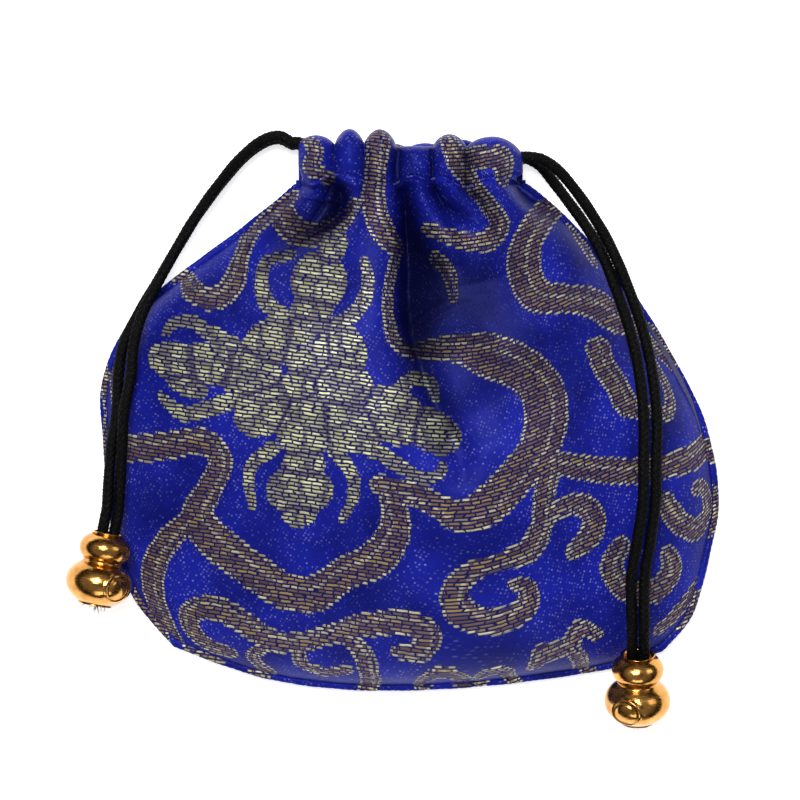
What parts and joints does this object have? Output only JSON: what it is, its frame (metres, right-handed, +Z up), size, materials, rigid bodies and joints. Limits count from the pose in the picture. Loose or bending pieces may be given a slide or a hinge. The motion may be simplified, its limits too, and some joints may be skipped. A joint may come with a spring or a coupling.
{
  "type": "drawstring gift pouch",
  "caption": "Small gathered brocade drawstring pouch lying on its back, with a casing at the mouth, paired black cords and gourd-shaped gold beads on their ends.",
  "frame": {"origin": "on the table, under the middle of the pouch without its cords", "axes": "+X to the pouch's right seen from above, +Y from the bottom seam towards the mouth, +Z up through the pouch's thickness"},
  "size_m": [0.1179, 0.1079, 0.022],
  "materials": {
    "brocade": "blue satin brocade with woven gold motifs",
    "lining": "plain dark blue satin",
    "thread": "blue sewing thread",
    "cord": "black braided polyester cord",
    "bead": "polished gold plate"
  },
  "bodies": {
    "sack": {"front_panel": "brocade", "back_panel": "brocade", "front_lining": "lining", "back_lining": "lining", "front_casing": "brocade", "back_casing": "brocade", "front_hem_stitching": "thread", "back_hem_stitching": "thread", "perimeter_seam": "brocade", "seam_allowance": "brocade", "perimeter_stitching": "thread", "left_cord_loop": "cord", "right_cord_loop": "cord"},
    "left_draw": {"left_draw_strands": "cord"},
    "left_tail": {"left_front_tail": "cord", "left_back_tail": "cord", "left_knot": "cord"},
    "left_bead": {"left_gourd_bead": "bead"},
    "right_draw": {"right_draw_strands": "cord"},
    "right_tail": {"right_front_tail": "cord", "right_back_tail": "cord", "right_knot": "cord"},
    "right_bead": {"right_gourd_bead": "bead"}
  },
  "joints": [
    {"name": "left_cord_pull", "type": "slide", "parent": "sack", "child": "left_draw", "axis": [-1, 0, 0], "range_m": [0, 0.01]},
    {"name": "left_tail_swing", "type": "hinge", "parent": "left_draw", "child": "left_tail", "pos_m": [-0.02125, 0.048, 0.0076], "axis": [0, 0, -1], "range_deg": [0, 65]},
    {"name": "left_bead_slide", "type": "slide", "parent": "left_tail", "child": "left_bead", "axis": [0.19, 0.98, 0.06], "range_m": [0, 0.003]},
    {"name": "right_cord_pull", "type": "slide", "parent": "sack", "child": "right_draw", "axis": [1, 0, 0], "range_m": [0, 0.01]},
    {"name": "right_tail_swing", "type": "hinge", "parent": "right_draw", "child": "right_tail", "pos_m": [0.02125, 0.0454, 0.0076], "axis": [0, 0, 1], "range_deg": [0, 85]},
    {"name": "right_bead_slide", "type": "slide", "parent": "right_tail", "child": "right_bead", "axis": [0, 0.9207, 0.3903], "range_m": [0, 0.003]}
  ]
}
